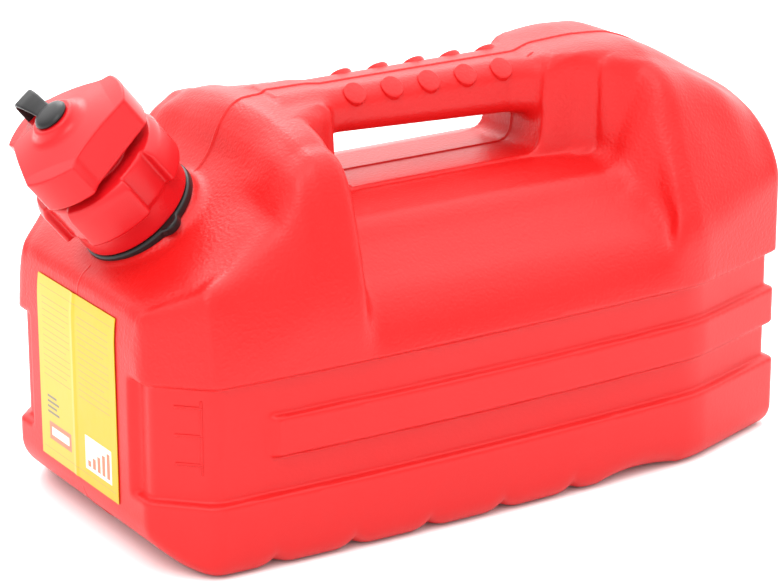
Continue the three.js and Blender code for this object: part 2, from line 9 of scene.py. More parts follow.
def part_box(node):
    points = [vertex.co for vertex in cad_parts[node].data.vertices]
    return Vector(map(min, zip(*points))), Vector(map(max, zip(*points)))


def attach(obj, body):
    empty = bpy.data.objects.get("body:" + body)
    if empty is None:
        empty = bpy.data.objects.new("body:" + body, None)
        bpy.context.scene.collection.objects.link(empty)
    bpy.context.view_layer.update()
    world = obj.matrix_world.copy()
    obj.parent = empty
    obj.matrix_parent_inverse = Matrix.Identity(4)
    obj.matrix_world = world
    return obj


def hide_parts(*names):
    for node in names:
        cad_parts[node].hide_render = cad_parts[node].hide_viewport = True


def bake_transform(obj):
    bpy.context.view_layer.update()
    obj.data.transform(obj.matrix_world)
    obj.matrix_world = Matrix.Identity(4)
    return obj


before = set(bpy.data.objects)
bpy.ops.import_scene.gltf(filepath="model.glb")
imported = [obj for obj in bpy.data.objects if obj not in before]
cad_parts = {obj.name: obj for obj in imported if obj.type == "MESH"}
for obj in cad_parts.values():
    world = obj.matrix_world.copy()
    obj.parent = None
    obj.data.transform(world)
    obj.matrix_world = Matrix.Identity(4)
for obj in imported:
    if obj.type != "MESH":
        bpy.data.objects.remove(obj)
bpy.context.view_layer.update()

MM = 0.001
FULL_TURN = 2 * math.pi

# How finely the pieces are cut
CAN_STEP = 1.25
CLOSURE_STEP = 0.45
CLOSURE_SETTLE = 0.25
MARGIN_STEPS = 3
SLAB_LAYERS = 40
TURNED_STEPS = 128
TURNED_CREASE = math.radians(40)
SEAM_STEPS = 720
SLOPE_STEP = 0.5
LEAST_STEEPNESS = 0.2
SMALL_MESH_FACES = 20000

# The can's block
LENGTH = 300
WIDTH = 147.6
HEIGHT = 167
CORNER_CUT = 20
TAPER_LENGTH = 53.5
TAPER_DEPTH = 18.6
SIDE_BOW = 3.3
TAPER_BLEND = 2
CORNER_BLEND = 3
REAR_EDGE = 3
FRONT_EDGE = 1.5
BASE_EDGE = 9.6
TOP_EDGE = 4
TOP_EDGE_MORE = 6
TOP_EDGE_ALONG = (-88, -118)
TOP_EDGE_ACROSS = (44, 60)
END_CHAMFER_RISE = 15.5
END_CHAMFER_RUN = 16.5
END_CHAMFER_BLEND = 5
HALF_LENGTH = LENGTH / 2
HALF_WIDTH = WIDTH / 2
CORNER_END = CORNER_CUT - HALF_LENGTH
TAPER_START = HALF_LENGTH - TAPER_LENGTH

# The recess round the sides and the raised band in it
RECESS_DEPTH = 3.6
RECESS_BOTTOM = 30.8
RECESS_TOP = 77.4
BAND_BOTTOM = 45.8
BAND_TOP = 62.1
BAND_DROP = 0.6
LEDGE = 1.1
RECESS_STOP = 41
RECESS_FADE = 4
BAND_START = -107
BAND_FADE = 4

# The scallops along the base's long edges
SCALLOP_PITCH = 34.4
SCALLOP_START = -104.3
SCALLOP_COUNT = 5
SCALLOP_REACH = 8.5
SCALLOP_HEIGHT = 3.2
SCALLOP_FADE = 16
ARCH_CENTRE = 67.5
ARCH_REACH = 21

# The handle bar and its studs
BAR_WIDTH = 30
BAR_HEIGHT = 20
BAR_TOP = 165.6
BAR_EDGE = 8
BAR_ROOT_DROP = 6
BAR_FALL = 0.05
BAR_FALL_PLACE = -8
BAR_LEVEL = -36.75
BAR_ROOT = -49.5
BAR_ROOT_SHARE = 1.3
BAR_ENDS = (-64, 78)
BAR_FLARE = 6
BAR_FLARE_SPAN = (40, 60)
BAR_BLEND = 5
STUD_RADIUS = 4.9
STUD_FLARE = 0.2
STUD_RIM = ((0, 0.6), (0.1, 0.3), (0.3, 0.1), (0.7, 0))
STUD_MIDDLE = 0.3
STUD_CROWN = 0.15
STUD_SIDES = 40
STUD_CREASE = math.radians(50)
STUD_PROUD = 0.9
STUD_DEPTH = 3
STUD_PITCH = 17.3
STUD_COUNT = 6
STUD_START = -31.4
STUD_STAGGER = 8.65

# The neck's frame: its axis is tilted towards -X, and heights along it start at the gasket's middle
NECK_FOOT = Vector((-121.4, 0, 126.66))
NECK_TILT = math.radians(39.2)
NECK_RADIUS = 18.6
NECK_BORE = 16.5
NECK_TOP = 24
BOSS_RADIUS = 23.6
BOSS_TOP = -2
BOSS_DEPTH = 16
BOSS_EDGE = 0.8
BOSS_END_EDGE = 1
BOSS_FOOT = 6
NECK_EDGE = 0.5
NECK_FRAME = Matrix.Translation(NECK_FOOT) @ Matrix.Rotation(-NECK_TILT, 4, "Y")
HOLLOW_DEPTH = 8

# The two screw threads: the neck's, which holds the collar, and the collar's, which holds the cap
THREAD_HEIGHT = 1.6
THREAD_ROOT = 2
THREAD_CREST = 1
THREAD_CLEAR = 0.5
THREAD_FADE = 0.12
NECK_THREAD = {"pitch": 5, "start": 5.5, "turns": 3}
CAP_THREAD = {"pitch": 4, "start": 36.5, "turns": 1.75}

# The gasket and its pull tab
GASKET_RADIUS = 24.6
GASKET_LOW = -1.9
GASKET_HIGH = 2.1
GASKET_EDGE = 1.3
TAB_TURN = math.radians(-87)
TAB_CENTRE = 23.6
TAB_REACH = 3.9
TAB_HALF_WIDTH = 4.4
TAB_EDGE = 1.2
TAB_FOOT = 1.2
TAB_INNER_EDGE = 0.5

# The collar nut with its four grip lugs
SKIRT_RADIUS = 24
COLLAR_RADIUS = 24.8
COLLAR_BOTTOM = 2.3
COLLAR_TOP = 30.5
LIP_HEIGHT = 3.3
GRIP_RADIUS = 28.3
GRIP_BOTTOM = 12.5
GRIP_COUNT = 4
GRIP_TURN = math.radians(-32)
GRIP_HALF_SPAN = math.radians(29.5)
GRIP_BEVEL_DROP = 3
GRIP_BEVEL_RUN = 1.9
UPSTAND_RADIUS = 16.9
UPSTAND_BORE = 14.6
UPSTAND_TOP = 44.3
COLLAR_EDGE = 1.6
GRIP_EDGE = 1
GRIP_TOP_EDGE = 0.8
GRIP_FOOT = 1.2
SKIRT_EDGE = 1
SKIRT_FOOT = 1
UPSTAND_EDGE = 0.4
UPSTAND_FOOT = 0.8

# The closing cap: three flats, each ending in a shoulder, between three lobes with slanted tops
CAP_BOTTOM = 34.2
CAP_RADIUS = 28
CAP_SIDES = 3
FLAT_TURN = math.radians(279)
FLAT_REACH = 21.4
SHOULDER_TURN = math.radians(302)
SHOULDER_REACH = 15.2
LOBE_TURN = math.radians(-17)
CREASE_REACH = 21.3
CREASE_HEIGHT = 50.1
CAP_SLOPE = 0.22
FACET_SLOPE = 0.12
CAP_BOSS_RADIUS = 8.7
CAP_BOSS_TOP = 56
CAP_CEILING = 46.4
VENT_BORE = 3.7
SHOULDER_EDGE = 0.6
CAP_CORNER_EDGE = 0.8
CAP_TOP_EDGE = 0.7
CAP_BOTTOM_EDGE = 1
CAP_BOSS_EDGE = 1
CAP_BOSS_FOOT = 5

# The vent plug and the strap that ties it to the cap, as places away from the axis and heights along it
PLUG_PROFILE = [(0, 46.8), (2.7, 46.8), (3.2, 47.4), (3.2, 56.25), (6.3, 56.3), (6.8, 56.7), (6.9, 57.2),
                (6.5, 57.9), (5.4, 58.5), (3.8, 58.9), (1.9, 59.1), (0, 59.15)]
STRAP_PATH = [(3.5, 57.5), (7, 58.3), (11, 59.5), (15, 60.3), (18, 60.3), (20.2, 59.4), (21.6, 57.6),
              (22, 55.4), (21.8, 52.8), (21.6, 49.6)]
STRAP_THICK = 1.6
STRAP_WIDTHS = (6.6, 8.8)
STRAP_WIDENED_SHARE = 0.55
STRAP_STEPS = 40
STRAP_SIDES = 16
STRAP_SIDE_POWER = 0.35
STRAP_FACE_POWER = 0.6

# The pouring spout, stowed upside down in the neck, and the cap's seal: radius and height
SPOUT_PROFILE = [(14.3, 26.9), (14.3, -4), (13.9, -6), (9.4, -77.1), (11, -77.1), (15.5, -6.5), (15.9, -4),
                 (15.9, 24.3), (18.2, 24.3), (18.5, 24.6), (18.5, 26.6), (18.2, 26.9)]
SEAL_PROFILE = [(12.5, 44.8), (12.7, 44.6), (16.7, 44.6), (16.9, 44.8), (16.9, 45.9), (16.7, 46.1),
                (12.7, 46.1), (12.5, 45.9)]

# The moulding's parting line, and the raised marks on the near cut corner, as heights and places along it
SEAM_HALF_WIDTH = 1
SEAM_HIDDEN = 0.4
SEAM_PROUD = 0.6
SEAM_PROUD_AT_END = 0.12
SEAM_SECTION = ((-1, -0.5), (-0.6, 0.4), (-0.25, 0.9), (0, 1), (0.25, 0.9), (0.6, 0.4), (1, -0.5))
SEAM_SLOPE_REACH = 0.3
BODY_MIDDLE = (0, 60)
HOLE_MIDDLE = (5, 137)
RAY_LENGTH = 240
RAY_STEP = 0.5
MARK_HEIGHTS = (69.3, 57.9, 46.3)
MARK_SPAN = (-2.8, 7.4)
MARK_UPRIGHT = (42.4, 71.8)
MARK_HALF_WIDTH = 0.55
MARK_PROUD = 0.5
MARK_UPRIGHT_PROUD = 0.3
RIB_STEPS = 8
RIB_SIDE_SHARE = 0.4
RIB_TOP_SHARE = 0.55

# The label's design, in places from its left edge and from its foot: a fold, ruled lines in two columns
# (left, right, how much a short line lacks, and which line is short), grey lines, bars that grow, blocks and
# a border
FOLD = 30
FOLD_HALF_SPAN = 4
FOLD_POINTS = 9
FOLD_DEPTH = 0.3
FOLD_WIDTH = 1.4
RULE_COLUMNS = ((4, 27, 3, 4), (34, 60, 4, 5))
RULE_COUNT = 13
RULE_TOP = 67
RULE_PITCH = 2.7
RULE_THICK = 0.4
GREY_COUNT = 4
GREY_SPAN = (6, 16)
GREY_SHORT = 2
GREY_FOOT = 19
GREY_PITCH = 2.2
GREY_THICK = 1
GROWING_COUNT = 5
GROWING_START = 40
GROWING_PITCH = 4
GROWING_WIDTH = 2.6
GROWING_FOOT = 7.5
GROWING_TOP = 10
GROWING_RISE = 2
CHART_BLOCK = (38, 60, 6, 20)
FRAME_BLOCK = (7, 26, 8, 15.5)
FRAME_INSIDE = (9, 24, 10, 13.5)
BORDER_INSET = 2
BORDER_THICK = 0.3
BORDER_RISE = 3.6
BORDER_DROP = 4

# Sections of the can's upper outline along its length: the place as a share of half the length, the crest's
# height, the spine, flank and shoulder as shares of the side's reach and of the height, and the height of the
# upright wall.
SECTION_SHARES = np.array([
    [-1, 0.593, 0.5, 0.593, 0.82, 0.587, 0.95, 0.569, 0.527],
    [-0.99, 0.618, 0.49, 0.617, 0.81, 0.611, 0.95, 0.59, 0.539],
    [-0.967, 0.641, 0.48, 0.639, 0.82, 0.632, 0.95, 0.611, 0.557],
    [-0.867, 0.699, 0.41, 0.695, 0.79, 0.68, 0.95, 0.653, 0.599],
    [-0.773, 0.752, 0.4, 0.746, 0.74, 0.722, 0.9, 0.692, 0.599],
    [-0.68, 0.805, 0.37, 0.797, 0.69, 0.775, 0.86, 0.737, 0.599],
    [-0.633, 0.838, 0.34, 0.835, 0.66, 0.808, 0.85, 0.763, 0.6],
    [-0.6, 0.874, 0.34, 0.872, 0.66, 0.857, 0.84, 0.797, 0.6],
    [-0.567, 0.937, 0.34, 0.925, 0.63, 0.906, 0.83, 0.836, 0.6],
    [-0.533, 0.975, 0.34, 0.956, 0.6, 0.93, 0.81, 0.866, 0.6],
    [-0.5, 0.988, 0.34, 0.972, 0.6, 0.943, 0.8, 0.888, 0.6],
    [-0.453, 0.99, 0.31, 0.976, 0.6, 0.944, 0.81, 0.882, 0.6],
    [-0.333, 0.988, 0.29, 0.976, 0.57, 0.93, 0.81, 0.86, 0.6],
    [0, 0.992, 0.3, 0.98, 0.57, 0.928, 0.78, 0.862, 0.6],
    [0.333, 1, 0.34, 0.992, 0.58, 0.932, 0.74, 0.868, 0.6],
    [0.4, 1.004, 0.38, 0.99, 0.58, 0.934, 0.73, 0.872, 0.6],
    [0.533, 1.01, 0.4, 0.993, 0.59, 0.936, 0.72, 0.872, 0.6],
    [0.633, 1.005, 0.41, 0.989, 0.68, 0.906, 0.745, 0.843, 0.61],
    [0.7, 0.988, 0.42, 0.969, 0.68, 0.893, 0.76, 0.83, 0.62],
    [0.78, 0.953, 0.42, 0.936, 0.7, 0.87, 0.78, 0.808, 0.64],
    [0.873, 0.907, 0.45, 0.887, 0.73, 0.838, 0.81, 0.785, 0.66],
    [0.96, 0.86, 0.45, 0.846, 0.73, 0.797, 0.84, 0.756, 0.68],
    [0.993, 0.84, 0.45, 0.828, 0.74, 0.788, 0.86, 0.755, 0.69],
    [1, 0.832, 0.45, 0.822, 0.74, 0.784, 0.86, 0.754, 0.69],
])

VALLEY_STEEPEST = 1.5
VALLEY_FRONT_BLEND = 8
VALLEY_REAR_BLEND = 7
VALLEY_RIM_BLEND = 7

# The valley for the hand, in rows away from the parting plane: the distance, the floor's height, the front
# wall's place and its lean, and the rear wall's place and its lean. A lean is the run towards +X for each
# millimetre of height.
VALLEY = np.array([
    [0, 128.2, -42, -0.05, 50.8, 0.11],
    [20.8, 128, -45, -0.05, 51, 0.11],
    [22.2, 127, -48, -0.04, 53, 0.1],
    [24.5, 126.7, -52, -0.04, 66, 0.02],
    [29, 125.6, -60, -0.03, 74.5, 0.02],
    [37, 123.3, -61, -0.03, 75.5, 0.36],
    [41.5, 121.9, -61.2, -0.03, 75.5, 0.43],
    [44, 120.2, -61.5, -0.03, 75.5, 0.45],
    [50, 113.9, -62, -0.03, 76, 0.46],
    [58, 106.7, -62, -0.02, 81.5, 0.28],
    [66, 99.6, -62, 0, 85.5, 0.03],
    [74, 88, -62, 0, 80, 0],
    [84, 70, -62, 0, 74, 0],
])


def smooth_max(a, b, blend):
    """The larger of two distances, rounded over a blend width where they meet."""
    overlap = np.maximum(blend - np.abs(a - b), 0) / blend
    return np.maximum(a, b) + overlap * overlap * blend / 4


def smooth_min(a, b, blend):
    """The smaller of two distances, rounded in the same way."""
    return -smooth_max(-a, -b, blend)


def rounded(out, up, radius):
    """The distance of a section with rounded corners, from how far a place is past the corners' centres."""
    return np.hypot(np.maximum(out, 0), np.maximum(up, 0)) + np.minimum(np.maximum(out, up), 0) - radius


def eased(low, high, value):
    """A share that rises smoothly from 0 at the low value to 1 at the high one."""
    share = np.clip((value - low) / (high - low), 0, 1)
    return share * share * (3 - 2 * share)


def hermite(share, span, start, end, start_slope, end_slope):
    """The value at a share of a span, on a cubic between two values with a slope at each."""
    square = share * share
    cube = square * share
    return ((2 * cube - 3 * square + 1) * start + (cube - 2 * square + share) * span * start_slope
            + (3 * square - 2 * cube) * end + (cube - square) * span * end_slope)


def curve_through(places, values):
    """A smooth function through the points, which never overshoots them."""
    span = np.diff(places)
    rise = np.diff(values) / span
    slope = np.concatenate([rise[:1], np.zeros(len(places) - 2), rise[-1:]])
    product = rise[:-1] * rise[1:]
    total = rise[:-1] + rise[1:]
    slope[1:-1] = np.where(product > 0, 2 * product / np.where(total == 0, 1, total), 0)

    def at(place):
        i = np.clip(np.searchsorted(places, place, side="right") - 1, 0, len(span) - 1)
        share = np.clip((place - places[i]) / span[i], 0, 1)
        return hermite(share, span[i], values[i], values[i + 1], slope[i], slope[i + 1])

    return at


SECTION_CURVES = [curve_through(SECTION_SHARES[:, 0], column) for column in SECTION_SHARES.T[1:]]
VALLEY_CURVES = [curve_through(VALLEY[:, 0], column) for column in VALLEY.T[1:]]


def bow_at(x):
    """How far the bowed sides stand out beyond half the width."""
    share = np.clip((x - CORNER_END) / (TAPER_START - CORNER_END), 0, 1)
    return SIDE_BOW * 4 * share * (1 - share)


def side_at(x):
    """Half the can's width: cut corners in front, bowed sides, then a taper."""
    middle = HALF_WIDTH + bow_at(x)
    cut = np.maximum(CORNER_END - x, 0)
    taper = np.maximum(x - TAPER_START, 0) * TAPER_DEPTH / TAPER_LENGTH
    return middle - cut - taper


def top_at(x, y):
    """The height of the can's upper surface with no valley in it, over a place at y >= 0."""
    crest, spine_y, spine_z, flank_y, flank_z, shoulder_y, shoulder_z, wall_z = (
        curve(x / HALF_LENGTH) for curve in SECTION_CURVES)
    side = side_at(np.clip(x, -HALF_LENGTH, HALF_LENGTH))
    places = [0 * side, spine_y * side, flank_y * side, shoulder_y * side, side]
    heights = [HEIGHT * share for share in (crest, spine_z, flank_z, shoulder_z, wall_z)]
    spans = [b - a for a, b in zip(places, places[1:])]
    rises = [(b - a) / span for a, b, span in zip(heights, heights[1:], spans)]
    slopes = [0 * side]
    for i in range(3):
        slopes.append((rises[i] * spans[i + 1] + rises[i + 1] * spans[i]) / (spans[i] + spans[i + 1]))
    slopes.append(rises[3])
    height = heights[4] + slopes[4] * (y - places[4])
    for i in reversed(range(4)):
        share = np.clip((y - places[i]) / spans[i], 0, 1)
        piece = hermite(share, spans[i], heights[i], heights[i + 1], slopes[i], slopes[i + 1])
        height = np.where(y < places[i + 1], piece, height)
    return height


def plan_distance(x, y):
    """How far a place is outside the can's outline seen from above, whose upright edges are rounded."""
    middle = y - HALF_WIDTH - bow_at(x)
    lean = TAPER_DEPTH / TAPER_LENGTH
    taper = (y - HALF_WIDTH + (x - TAPER_START) * lean) / math.hypot(1, lean)
    cut = (y - x - HALF_WIDTH + CORNER_END) * math.sqrt(0.5)
    sides = smooth_max(smooth_max(middle, taper, TAPER_BLEND), cut, CORNER_BLEND)
    return smooth_max(smooth_max(sides, x - HALF_LENGTH, REAR_EDGE), -x - HALF_LENGTH, FRONT_EDGE)


def recess_at(x, y, z):
    """How deep the recess is at a place on the sides."""
    front = eased(RECESS_STOP, RECESS_STOP + RECESS_FADE, y)
    round_sides = np.where(x < -HALF_LENGTH + CORNER_CUT / 2, front, 1)
    sunk = eased(RECESS_BOTTOM - LEDGE, RECESS_BOTTOM + LEDGE, z)
    sunk = sunk * eased(RECESS_TOP + LEDGE, RECESS_TOP - LEDGE, z)
    band = eased(BAND_BOTTOM - LEDGE, BAND_BOTTOM + LEDGE, z) * eased(BAND_TOP + LEDGE, BAND_TOP - LEDGE, z)
    band = band * eased(BAND_START, BAND_START + BAND_FADE, x)
    return round_sides * sunk * (RECESS_DEPTH - band * (RECESS_DEPTH - BAND_DROP))


def base_at(x, y):
    """The height of the base's underside, with the scallops along its long edges."""
    rise = 0 * x
    for i in range(SCALLOP_COUNT):
        share = np.clip(1 - np.abs(x - SCALLOP_START - i * SCALLOP_PITCH) / SCALLOP_REACH, 0, 1)
        rise = np.maximum(rise, share * share)
    share = np.clip(1 - ((x - ARCH_CENTRE) / ARCH_REACH) ** 2, 0, 1)
    rise = np.maximum(rise, share)
    return SCALLOP_HEIGHT * rise * eased(HALF_WIDTH - SCALLOP_FADE, HALF_WIDTH, y)


def block_distance(x, y, z):
    """The can's block with its sides' recess, its base and its upper form, without the valley."""
    top = top_at(x, y)
    lean_x = (top_at(x + SLOPE_STEP, y) - top) / SLOPE_STEP
    lean_y = (top_at(x, y + SLOPE_STEP) - top) / SLOPE_STEP
    over = (z - top) / np.sqrt(1 + lean_x * lean_x + lean_y * lean_y)
    around = plan_distance(x, y) + recess_at(x, y, z)
    under = base_at(x, y) - z
    chamfer = -END_CHAMFER_RISE * (x + HALF_LENGTH) - END_CHAMFER_RUN * (z - END_CHAMFER_RISE)
    chamfer = chamfer / math.hypot(END_CHAMFER_RISE, END_CHAMFER_RUN)
    edge = TOP_EDGE + TOP_EDGE_MORE * eased(*TOP_EDGE_ALONG, x) * eased(*TOP_EDGE_ACROSS, y)
    block = smooth_max(smooth_max(over, around, edge), under, BASE_EDGE)
    return smooth_max(block, chamfer, END_CHAMFER_BLEND)


def valley_distance(x, y, z):
    """The room for the hand, under and beside the handle bar."""
    floor, front, front_lean, rear, rear_lean = (curve(y) for curve in VALLEY_CURVES)
    floor_out, front_out, _, rear_out, _ = (curve(y + SLOPE_STEP) for curve in VALLEY_CURVES)
    over = np.maximum(z - floor, 0)
    under = (floor - z) / np.hypot(1, (floor_out - floor) / SLOPE_STEP)
    front_turn = np.clip((front_out - front) / SLOPE_STEP, -VALLEY_STEEPEST, VALLEY_STEEPEST)
    ahead = (front + front_lean * over - x) / np.hypot(1, front_turn)
    rear_turn = np.clip((rear_out - rear) / SLOPE_STEP, -VALLEY_STEEPEST, VALLEY_STEEPEST)
    behind = (x - rear - rear_lean * over) / np.hypot(np.hypot(1, rear_lean), rear_turn)
    return smooth_max(smooth_max(under, ahead, VALLEY_FRONT_BLEND), behind, VALLEY_REAR_BLEND)


def bar_distance(x, y, z):
    """The handle bar, rounded all round, which falls towards its root and flares at its rear end."""
    into = np.clip((BAR_LEVEL - x) / (BAR_LEVEL - BAR_ROOT), 0, BAR_ROOT_SHARE)
    low = BAR_TOP - BAR_HEIGHT - BAR_ROOT_DROP * into ** 2 - BAR_FALL * (x - BAR_FALL_PLACE)
    middle = (BAR_TOP + low) / 2
    across = y - (BAR_WIDTH / 2 - BAR_EDGE) - BAR_FLARE * eased(*BAR_FLARE_SPAN, x)
    up = np.abs(z - middle) - ((BAR_TOP - low) / 2 - BAR_EDGE)
    corner = rounded(across, up, BAR_EDGE)
    ends = np.maximum(BAR_ENDS[0] - x, x - BAR_ENDS[1])
    return np.maximum(corner, ends)


def neck_places(x, z):
    """How far a place is up the slope from the neck's axis, and its height along the axis."""
    across = (x - NECK_FOOT.x) * math.cos(NECK_TILT) + (z - NECK_FOOT.z) * math.sin(NECK_TILT)
    along = (z - NECK_FOOT.z) * math.cos(NECK_TILT) - (x - NECK_FOOT.x) * math.sin(NECK_TILT)
    return across, along


def form_distance(x, y, z):
    """The can's form without its neck."""
    y = np.abs(y)
    shape = smooth_max(block_distance(x, y, z), -valley_distance(x, y, z), VALLEY_RIM_BLEND)
    return smooth_min(shape, bar_distance(x, y, z), BAR_BLEND)


def thread_at(x, y, along, pitch, start, turns):
    """How far a thread stands out, from 0 to 1: its ridge climbs round the axis and runs out at both ends."""
    angle = np.arctan2(y, x) / FULL_TURN
    climbed = (along - start) / pitch - angle
    winding = np.round(climbed)
    away = np.abs(climbed - winding) * pitch
    ridge = np.clip((THREAD_ROOT / 2 - away) / (THREAD_ROOT / 2 - THREAD_CREST / 2), 0, 1)
    travelled = winding + angle
    run_out = np.clip(travelled / THREAD_FADE, 0, 1) * np.clip((turns - travelled) / THREAD_FADE, 0, 1)
    return ridge * run_out


def body_distance(x, y, z):
    """The whole can: its form, the boss and the neck, and its hollow."""
    form = form_distance(x, y, z)
    across, along = neck_places(x, z)
    radius = np.hypot(across, y)
    boss = smooth_max(radius - BOSS_RADIUS, along - BOSS_TOP, BOSS_EDGE)
    boss = smooth_max(boss, -along - BOSS_DEPTH, BOSS_END_EDGE)
    shape = smooth_min(form, boss, BOSS_FOOT)
    neck = smooth_max(radius - NECK_RADIUS, np.maximum(along - NECK_TOP, -along - BOSS_DEPTH), NECK_EDGE)
    shape = np.minimum(shape, neck)
    bore = np.maximum(radius - NECK_BORE, -along - BOSS_DEPTH)
    return np.maximum(shape, -np.minimum(form + HOLLOW_DEPTH, bore))


def surface_nets(distance, low, high, step):
    """The closed surface where a field of distance is zero, as points and four-sided faces."""
    axes = [np.arange(a, b + step, step) for a, b in zip(low, high)]
    slabs = np.array_split(axes[0], max(1, len(axes[0]) // SLAB_LAYERS))
    value = np.concatenate(
        [distance(slab[:, None, None], axes[1][None, :, None], axes[2][None, None, :]) for slab in slabs])
    cells = tuple(n - 1 for n in value.shape)
    total = np.zeros((3, *cells), np.float32)
    count = np.zeros(cells, np.float32)
    crossed = []
    for axis in range(3):
        others = [other for other in range(3) if other != axis]
        near = value.take(np.arange(cells[axis]), axis)
        far = value.take(np.arange(1, cells[axis] + 1), axis)
        cross = (near < 0) != (far < 0)
        share = np.where(cross, near / np.where(cross, near - far, 1), 0)
        crossed.append((cross, near < 0))
        for p in (0, 1):
            for q in (0, 1):
                window = [slice(None)] * 3
                window[others[0]] = slice(p, p + cells[others[0]])
                window[others[1]] = slice(q, q + cells[others[1]])
                hit = cross[tuple(window)]
                count += hit
                total[axis] += share[tuple(window)]
                total[others[0]] += p * hit
                total[others[1]] += q * hit
    active = count > 0
    index = np.full(cells, -1, np.int64)
    index[active] = np.arange(active.sum())
    places = np.argwhere(active)
    points = places + (total[:, active] / count[active]).T
    points = np.array([axis[0] for axis in axes]) + points * step
    faces = []
    for axis in range(3):
        u, v = (axis + 1) % 3, (axis + 2) % 3
        cross, inside = crossed[axis]
        at = np.argwhere(cross)
        at = at[(at[:, u] > 0) & (at[:, v] > 0) & (at[:, u] < cells[u]) & (at[:, v] < cells[v])]
        corners = []
        for du, dv in ((1, 1), (0, 1), (0, 0), (1, 0)):
            cell = at.copy()
            cell[:, u] -= du
            cell[:, v] -= dv
            corners.append(index[tuple(cell.T)])
        quads = np.stack(corners, 1)
        outwards = inside[tuple(at.T)]
        faces.append(np.where(outwards[:, None], quads, quads[:, ::-1]))
    return points, np.concatenate(faces)


def slope_of(distance, points, reach=0.05):
    """How steeply a field rises along each axis at some points."""
    slopes = []
    for axis in range(3):
        shift = np.zeros(3)
        shift[axis] = reach
        ahead = distance(*(points + shift).T)
        behind = distance(*(points - shift).T)
        slopes.append((ahead - behind) / (2 * reach))
    return np.stack(slopes, 1)


def settled(distance, points, rounds=3, limit=0.6):
    """Points moved along the slope of a field on to its surface."""
    for _ in range(rounds):
        slope = slope_of(distance, points)
        steepness = np.maximum((slope * slope).sum(1), LEAST_STEEPNESS)
        move = np.clip(distance(*points.T) / steepness, -limit, limit)
        points = points - slope * move[:, None]
    return points


def mesh_object(name, points, faces, material, smooth=True):
    """An object from points in millimetres and faces, which are all turned outwards if the mesh is small."""
    mesh = bpy.data.meshes.new(name)
    mesh.from_pydata((np.asarray(points, float) * MM).tolist(), [], [list(map(int, face)) for face in faces])
    mesh.validate()
    if len(mesh.polygons) < SMALL_MESH_FACES:
        work = bmesh.new()
        work.from_mesh(mesh)
        bmesh.ops.recalc_face_normals(work, faces=work.faces)
        work.to_mesh(mesh)
        work.free()
    mesh.polygons.foreach_set("use_smooth", [smooth] * len(mesh.polygons))
    mesh.update()
    mesh.materials.append(material)
    made = bpy.data.objects.new(name, mesh)
    bpy.context.scene.collection.objects.link(made)
    return made


def on_neck(points):
    """Points in the neck's frame moved into the can's."""
    turn = np.array(NECK_FRAME)
    return np.asarray(points) @ turn[:3, :3].T + turn[:3, 3]


def reach_along(x, y, turn):
    """How far a place is from the axis, measured along a direction."""
    return x * math.cos(turn) + y * math.sin(turn)


def gasket_distance(x, y, s):
    """The gasket's ring with a bulging edge, and its pull tab."""
    radius = np.hypot(x, y)
    bore = NECK_RADIUS + THREAD_HEIGHT + THREAD_CLEAR
    middle = (GASKET_LOW + GASKET_HIGH) / 2
    half = (GASKET_HIGH - GASKET_LOW) / 2
    out = np.abs(radius - (bore + GASKET_RADIUS) / 2) - (GASKET_RADIUS - bore) / 2 + GASKET_EDGE
    up = np.abs(s - middle) - half + GASKET_EDGE
    ring = rounded(out, up, GASKET_EDGE)
    outwards = reach_along(x, y, TAB_TURN) - TAB_CENTRE
    sideways = reach_along(x, y, TAB_TURN + math.pi / 2)
    tab = (np.hypot(outwards / TAB_REACH, sideways / TAB_HALF_WIDTH) - 1) * TAB_REACH
    tab = smooth_max(smooth_max(tab, np.abs(s - middle) - half, TAB_EDGE), bore - radius, TAB_INNER_EDGE)
    return smooth_min(ring, tab, TAB_FOOT)


def collar_distance(x, y, s):
    """The collar nut: a skirt, a core with four bevelled lugs, and an upstand with the cap's thread."""
    radius = np.hypot(x, y)
    angle = np.arctan2(y, x)
    pitch = FULL_TURN / GRIP_COUNT
    off = np.abs((angle - GRIP_TURN + pitch / 2) % pitch - pitch / 2) - GRIP_HALF_SPAN
    flank = radius * np.sin(off)
    ends = np.maximum(GRIP_BOTTOM - s, s - COLLAR_TOP)
    bevel = (radius - GRIP_RADIUS + GRIP_BEVEL_RUN) * GRIP_BEVEL_DROP + (s - COLLAR_TOP) * GRIP_BEVEL_RUN
    bevel = bevel / math.hypot(GRIP_BEVEL_DROP, GRIP_BEVEL_RUN)
    lug = smooth_max(radius - GRIP_RADIUS, flank, COLLAR_EDGE)
    lug = smooth_max(lug, smooth_max(ends, bevel, GRIP_TOP_EDGE), GRIP_EDGE)
    core = smooth_max(radius - COLLAR_RADIUS, ends, COLLAR_EDGE)
    skirt_ends = np.maximum(COLLAR_BOTTOM - s, s - GRIP_BOTTOM - LIP_HEIGHT)
    skirt = smooth_max(radius - SKIRT_RADIUS, skirt_ends, SKIRT_EDGE)
    lip_bottom = COLLAR_TOP - LIP_HEIGHT
    ridge = THREAD_HEIGHT * thread_at(x, y, s, **CAP_THREAD)
    upstand_ends = np.maximum(lip_bottom - s, s - UPSTAND_TOP)
    upstand = smooth_max(radius - UPSTAND_RADIUS - ridge, upstand_ends, UPSTAND_EDGE)
    outside = smooth_min(smooth_min(lug, core, GRIP_FOOT), skirt, SKIRT_FOOT)
    outside = smooth_min(outside, upstand, UPSTAND_FOOT)
    inner = {**NECK_THREAD, "start": NECK_THREAD["start"] + NECK_THREAD["pitch"] / 2}
    bore = NECK_RADIUS + THREAD_HEIGHT + THREAD_CLEAR - THREAD_HEIGHT * thread_at(x, y, s, **inner)
    hollow = np.minimum(np.maximum(radius - bore, s - lip_bottom), radius - UPSTAND_BORE)
    return np.maximum(outside, -hollow)


def cap_top(radius):
    """The height of the cap's shallow cone."""
    return CREASE_HEIGHT + (CREASE_REACH - radius) * CAP_SLOPE


